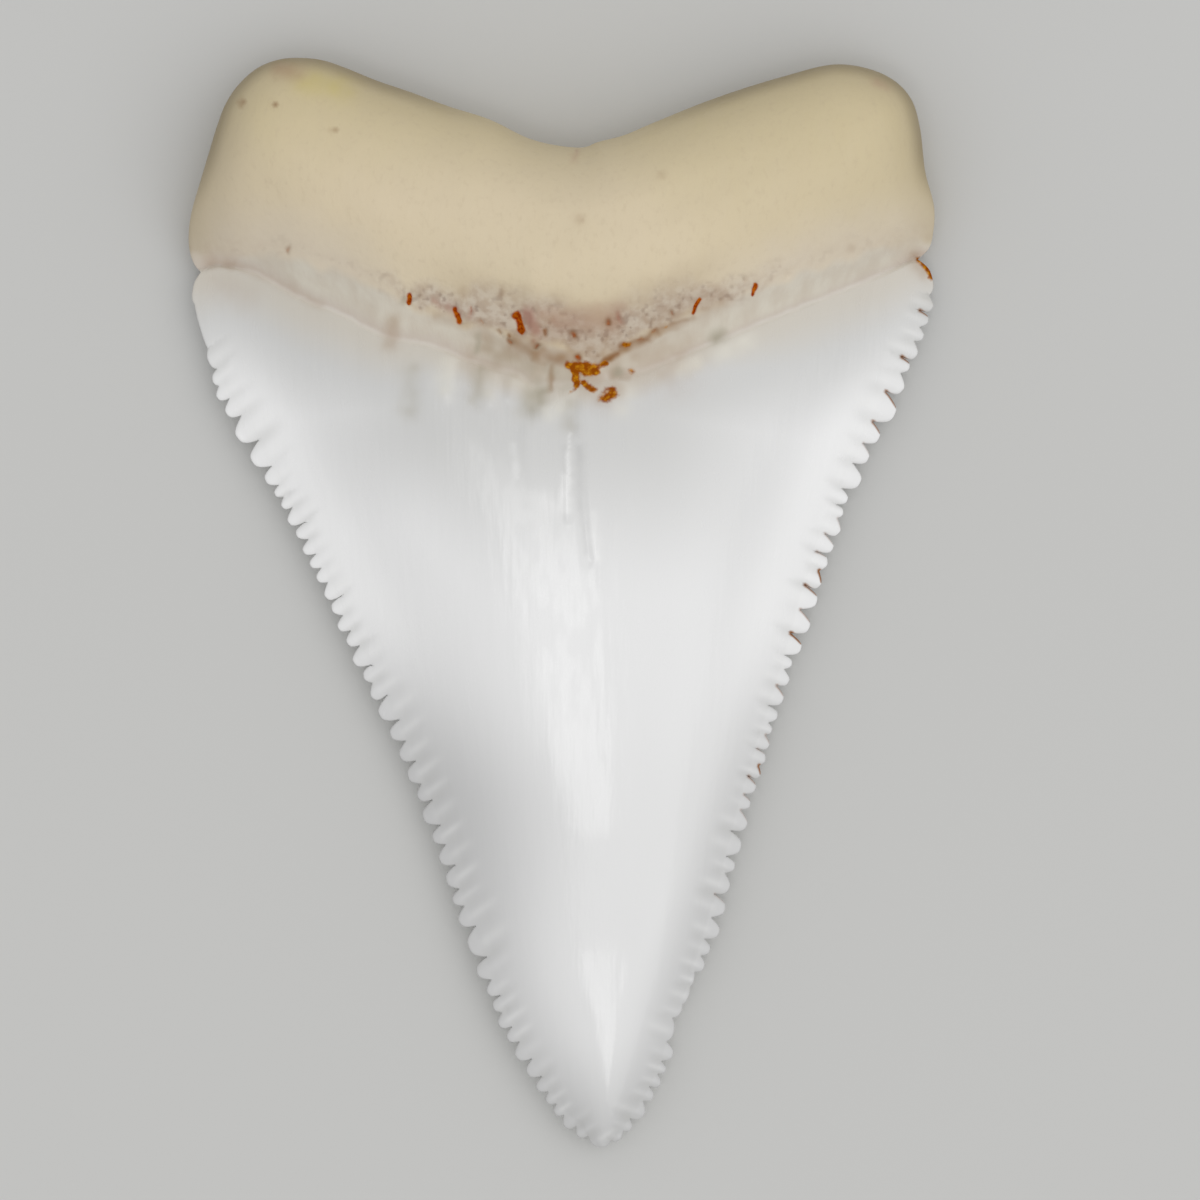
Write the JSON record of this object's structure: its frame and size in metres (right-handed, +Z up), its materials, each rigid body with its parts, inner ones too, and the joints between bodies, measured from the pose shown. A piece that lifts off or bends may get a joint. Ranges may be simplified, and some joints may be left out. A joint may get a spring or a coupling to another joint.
{
  "type": "great white shark tooth",
  "caption": "Triangular serrated tooth with a V-shaped neck and a thick two-lobed root, lying on its flat face.",
  "frame": {"origin": "under the middle of the tooth's box, on the surface that the flat outer face lies on", "axes": "+X across the tooth to the right as seen from above with the tip down, +Y from the tip to the root, +Z up out of the domed inner face"},
  "size_m": [0.0372, 0.0544, 0.0091],
  "materials": {
    "tooth": "smooth glossy white enamel on the crown, matt cream bone with small rust-stained pores on the root"
  },
  "bodies": {
    "root": {"tooth": "tooth"}
  },
  "joints": []
}
